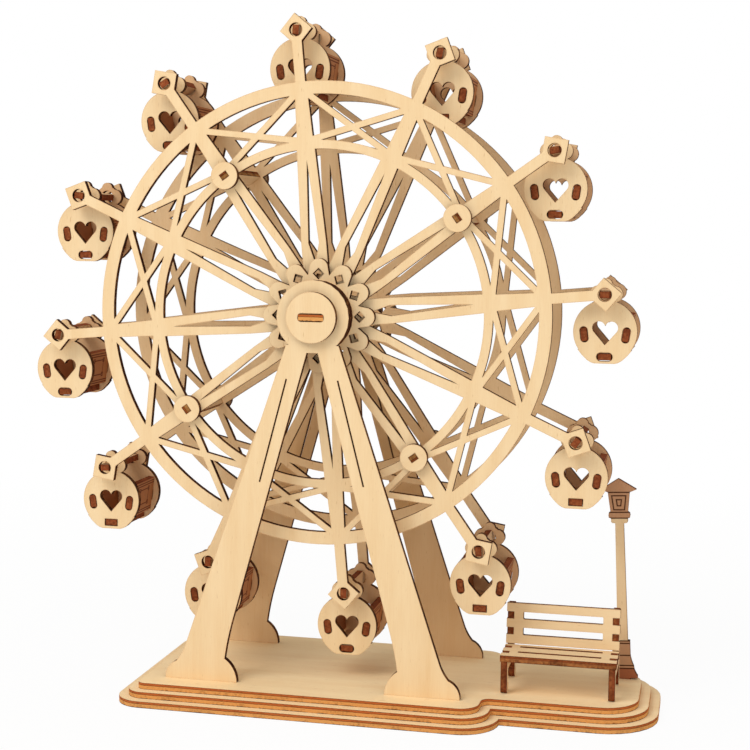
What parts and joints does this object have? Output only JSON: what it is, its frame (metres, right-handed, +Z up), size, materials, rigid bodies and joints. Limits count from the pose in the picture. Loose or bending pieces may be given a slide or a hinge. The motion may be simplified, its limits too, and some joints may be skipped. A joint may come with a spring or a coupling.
{
  "type": "crank ferris wheel toy",
  "caption": "Laser-cut plywood ferris wheel toy with hanging gondolas, A-frames, a stepped base with bench and lamp, turned by a rear hand crank.",
  "frame": {"origin": "on the underside of the base, straight below the axle, midway between the two frames", "axes": "+X to the right along the base towards the bench and lamp, +Y to the rear where the crank is, +Z up"},
  "size_m": [0.3016, 0.1171, 0.3175],
  "materials": {
    "base_ply": "bare laser-cut birch plywood, pale faces and browned cut edges",
    "frame_ply": "bare laser-cut birch plywood, pale faces and browned cut edges",
    "wheel_ply": "bare laser-cut birch plywood, pale faces and browned cut edges",
    "axle_ply": "bare laser-cut birch plywood, pale faces and browned cut edges",
    "gondola_ply": "bare laser-cut birch plywood, pale faces and browned cut edges",
    "bar_ply": "bare laser-cut birch plywood, pale faces and browned cut edges",
    "bench_ply": "bare laser-cut birch plywood, pale faces and browned cut edges",
    "lamp_ply": "bare laser-cut birch plywood, pale faces and browned cut edges"
  },
  "bodies": {
    "base": {"base_bottom": "base_ply", "base_middle": "base_ply", "base_top": "base_ply", "front_frame": "frame_ply", "rear_frame": "frame_ply", "front_bearing": "frame_ply", "rear_bearing": "frame_ply", "bench_seat": "bench_ply", "bench_back": "bench_ply", "bench_left_side": "bench_ply", "bench_right_side": "bench_ply", "lamp_post": "lamp_ply"},
    "wheel": {"front_disc": "wheel_ply", "rear_disc": "wheel_ply", "front_flower": "wheel_ply", "rear_flower": "wheel_ply", "tie_rods": "wheel_ply", "tie_rod_washers": "wheel_ply", "axle": "axle_ply", "axle_caps": "axle_ply", "crank_arm": "axle_ply", "crank_pin": "axle_ply", "crank_stop": "axle_ply"},
    "grip": {"crank_grip": "axle_ply"},
    "bar_1": {"hanger_bar_1": "bar_ply"},
    "gondola_1": {"gondola_1_car": "gondola_ply"},
    "bar_2": {"hanger_bar_2": "bar_ply"},
    "gondola_2": {"gondola_2_car": "gondola_ply"},
    "bar_3": {"hanger_bar_3": "bar_ply"},
    "gondola_3": {"gondola_3_car": "gondola_ply"},
    "bar_4": {"hanger_bar_4": "bar_ply"},
    "gondola_4": {"gondola_4_car": "gondola_ply"},
    "bar_5": {"hanger_bar_5": "bar_ply"},
    "gondola_5": {"gondola_5_car": "gondola_ply"},
    "bar_6": {"hanger_bar_6": "bar_ply"},
    "gondola_6": {"gondola_6_car": "gondola_ply"},
    "bar_7": {"hanger_bar_7": "bar_ply"},
    "gondola_7": {"gondola_7_car": "gondola_ply"},
    "bar_8": {"hanger_bar_8": "bar_ply"},
    "gondola_8": {"gondola_8_car": "gondola_ply"},
    "bar_9": {"hanger_bar_9": "bar_ply"},
    "gondola_9": {"gondola_9_car": "gondola_ply"},
    "bar_10": {"hanger_bar_10": "bar_ply"},
    "gondola_10": {"gondola_10_car": "gondola_ply"},
    "bar_11": {"hanger_bar_11": "bar_ply"},
    "gondola_11": {"gondola_11_car": "gondola_ply"},
    "bar_12": {"hanger_bar_12": "bar_ply"},
    "gondola_12": {"gondola_12_car": "gondola_ply"}
  },
  "joints": [
    {"name": "wheel_spin", "type": "hinge", "parent": "base", "child": "wheel", "pos_m": [0, 0, 0.1806], "axis": [0, 1, 0], "continuous": true},
    {"name": "grip_spin", "type": "hinge", "parent": "wheel", "child": "grip", "pos_m": [-0.026, 0.05, 0.1806], "axis": [0, 1, 0], "continuous": true},
    {"name": "gondola_1_hang", "type": "hinge", "parent": "wheel", "child": "gondola_1", "pos_m": [0.05395, 0, 0.29888], "axis": [0, 1, 0], "continuous": true},
    {"name": "bar_1_turn", "type": "hinge", "parent": "gondola_1", "child": "bar_1", "pos_m": [0.05395, 0, 0.29888], "axis": [0, 1, 0], "continuous": true},
    {"name": "gondola_2_hang", "type": "hinge", "parent": "wheel", "child": "gondola_2", "pos_m": [0.10586, 0, 0.25605], "axis": [0, 1, 0], "continuous": true},
    {"name": "bar_2_turn", "type": "hinge", "parent": "gondola_2", "child": "bar_2", "pos_m": [0.10586, 0, 0.25605], "axis": [0, 1, 0], "continuous": true},
    {"name": "gondola_3_hang", "type": "hinge", "parent": "wheel", "child": "gondola_3", "pos_m": [0.12941, 0, 0.19301], "axis": [0, 1, 0], "continuous": true},
    {"name": "bar_3_turn", "type": "hinge", "parent": "gondola_3", "child": "bar_3", "pos_m": [0.12941, 0, 0.19301], "axis": [0, 1, 0], "continuous": true},
    {"name": "gondola_4_hang", "type": "hinge", "parent": "wheel", "child": "gondola_4", "pos_m": [0.11828, 0, 0.12665], "axis": [0, 1, 0], "continuous": true},
    {"name": "bar_4_turn", "type": "hinge", "parent": "gondola_4", "child": "bar_4", "pos_m": [0.11828, 0, 0.12665], "axis": [0, 1, 0], "continuous": true},
    {"name": "gondola_5_hang", "type": "hinge", "parent": "wheel", "child": "gondola_5", "pos_m": [0.07545, 0, 0.07474], "axis": [0, 1, 0], "continuous": true},
    {"name": "bar_5_turn", "type": "hinge", "parent": "gondola_5", "child": "bar_5", "pos_m": [0.07545, 0, 0.07474], "axis": [0, 1, 0], "continuous": true},
    {"name": "gondola_6_hang", "type": "hinge", "parent": "wheel", "child": "gondola_6", "pos_m": [0.01242, 0, 0.05119], "axis": [0, 1, 0], "continuous": true},
    {"name": "bar_6_turn", "type": "hinge", "parent": "gondola_6", "child": "bar_6", "pos_m": [0.01242, 0, 0.05119], "axis": [0, 1, 0], "continuous": true},
    {"name": "gondola_7_hang", "type": "hinge", "parent": "wheel", "child": "gondola_7", "pos_m": [-0.05395, 0, 0.06232], "axis": [0, 1, 0], "continuous": true},
    {"name": "bar_7_turn", "type": "hinge", "parent": "gondola_7", "child": "bar_7", "pos_m": [-0.05395, 0, 0.06232], "axis": [0, 1, 0], "continuous": true},
    {"name": "gondola_8_hang", "type": "hinge", "parent": "wheel", "child": "gondola_8", "pos_m": [-0.10586, 0, 0.10515], "axis": [0, 1, 0], "continuous": true},
    {"name": "bar_8_turn", "type": "hinge", "parent": "gondola_8", "child": "bar_8", "pos_m": [-0.10586, 0, 0.10515], "axis": [0, 1, 0], "continuous": true},
    {"name": "gondola_9_hang", "type": "hinge", "parent": "wheel", "child": "gondola_9", "pos_m": [-0.12941, 0, 0.16819], "axis": [0, 1, 0], "continuous": true},
    {"name": "bar_9_turn", "type": "hinge", "parent": "gondola_9", "child": "bar_9", "pos_m": [-0.12941, 0, 0.16819], "axis": [0, 1, 0], "continuous": true},
    {"name": "gondola_10_hang", "type": "hinge", "parent": "wheel", "child": "gondola_10", "pos_m": [-0.11828, 0, 0.23455], "axis": [0, 1, 0], "continuous": true},
    {"name": "bar_10_turn", "type": "hinge", "parent": "gondola_10", "child": "bar_10", "pos_m": [-0.11828, 0, 0.23455], "axis": [0, 1, 0], "continuous": true},
    {"name": "gondola_11_hang", "type": "hinge", "parent": "wheel", "child": "gondola_11", "pos_m": [-0.07545, 0, 0.28646], "axis": [0, 1, 0], "continuous": true},
    {"name": "bar_11_turn", "type": "hinge", "parent": "gondola_11", "child": "bar_11", "pos_m": [-0.07545, 0, 0.28646], "axis": [0, 1, 0], "continuous": true},
    {"name": "gondola_12_hang", "type": "hinge", "parent": "wheel", "child": "gondola_12", "pos_m": [-0.01242, 0, 0.31001], "axis": [0, 1, 0], "continuous": true},
    {"name": "bar_12_turn", "type": "hinge", "parent": "gondola_12", "child": "bar_12", "pos_m": [-0.01242, 0, 0.31001], "axis": [0, 1, 0], "continuous": true}
  ],
  "couplings": [
    {"joint": "gondola_1_hang", "follows": "wheel_spin", "ratio": -1},
    {"joint": "gondola_2_hang", "follows": "wheel_spin", "ratio": -1},
    {"joint": "gondola_3_hang", "follows": "wheel_spin", "ratio": -1},
    {"joint": "gondola_4_hang", "follows": "wheel_spin", "ratio": -1},
    {"joint": "gondola_5_hang", "follows": "wheel_spin", "ratio": -1},
    {"joint": "gondola_6_hang", "follows": "wheel_spin", "ratio": -1},
    {"joint": "gondola_7_hang", "follows": "wheel_spin", "ratio": -1},
    {"joint": "gondola_8_hang", "follows": "wheel_spin", "ratio": -1},
    {"joint": "gondola_9_hang", "follows": "wheel_spin", "ratio": -1},
    {"joint": "gondola_10_hang", "follows": "wheel_spin", "ratio": -1},
    {"joint": "gondola_11_hang", "follows": "wheel_spin", "ratio": -1},
    {"joint": "gondola_12_hang", "follows": "wheel_spin", "ratio": -1}
  ]
}
